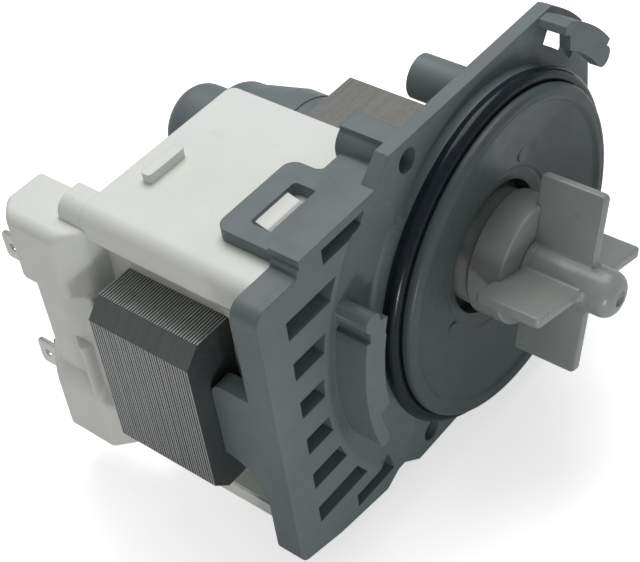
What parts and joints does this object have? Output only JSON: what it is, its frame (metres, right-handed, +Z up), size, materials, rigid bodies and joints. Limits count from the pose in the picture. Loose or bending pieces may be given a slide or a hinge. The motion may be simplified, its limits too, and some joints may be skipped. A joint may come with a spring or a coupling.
{
  "type": "dishwasher drain pump",
  "caption": "Dishwasher drain pump: synchronous motor with laminated core and moulded coils, wet rotor, grey bayonet mounting plate, sealing ring and bladed impeller.",
  "frame": {"origin": "on the pump's axis, in the plane of the mounting plate's front face", "axes": "+X along the pump's axis, out of the impeller; +Z up; +Y away from the coils"},
  "size_m": [0.1048, 0.1022, 0.0766],
  "materials": {
    "plate_plastic": "moulded glass-filled plastic, slate grey, fine satin grain",
    "cover_plastic": "moulded plastic, slate grey, slightly glossier than the plate",
    "impeller_plastic": "moulded plastic, warm grey, satin",
    "coil_plastic": "moulded plastic, off-white, satin",
    "seal_rubber": "black rubber, wet-looking sheen",
    "core_steel": "stacked electrical steel sheets, grey, with a fine line at each sheet",
    "shaft_steel": "ground steel",
    "bush_bronze": "sintered bronze",
    "magnet_ferrite": "sintered ferrite, dark grey",
    "winding_copper": "enamelled copper wire",
    "terminal_tin": "tinned metal, softly polished"
  },
  "bodies": {
    "housing": {"mounting_plate": "plate_plastic", "rotor_can": "plate_plastic", "can_end_cap": "plate_plastic", "volute_cover": "cover_plastic", "can_seal": "seal_rubber", "cover_o_ring": "seal_rubber", "front_bearing_mount": "seal_rubber", "rear_bearing_mount": "seal_rubber", "front_bush": "bush_bronze", "rear_bush": "bush_bronze", "core_laminations": "core_steel", "upper_bobbin": "coil_plastic", "lower_bobbin": "coil_plastic", "upper_winding": "winding_copper", "lower_winding": "winding_copper", "coil_overmould": "coil_plastic", "upper_terminal": "terminal_tin", "lower_terminal": "terminal_tin"},
    "rotor": {"rotor_shaft": "shaft_steel", "rotor_magnet": "magnet_ferrite", "rotor_sleeve": "coil_plastic", "front_thrust_washer": "shaft_steel", "rear_thrust_washer": "shaft_steel", "drive_dog": "coil_plastic"},
    "impeller_wheel": {"impeller": "impeller_plastic", "impeller_damper": "seal_rubber", "coupling_cover": "impeller_plastic"}
  },
  "joints": [
    {"name": "rotor_spin", "type": "hinge", "parent": "housing", "child": "rotor", "pos_m": [0, 0, 0], "axis": [1, 0, 0], "continuous": true},
    {"name": "impeller_play", "type": "hinge", "parent": "rotor", "child": "impeller_wheel", "pos_m": [0, 0, 0], "axis": [1, 0, 0], "range_deg": [-120, 120]}
  ]
}
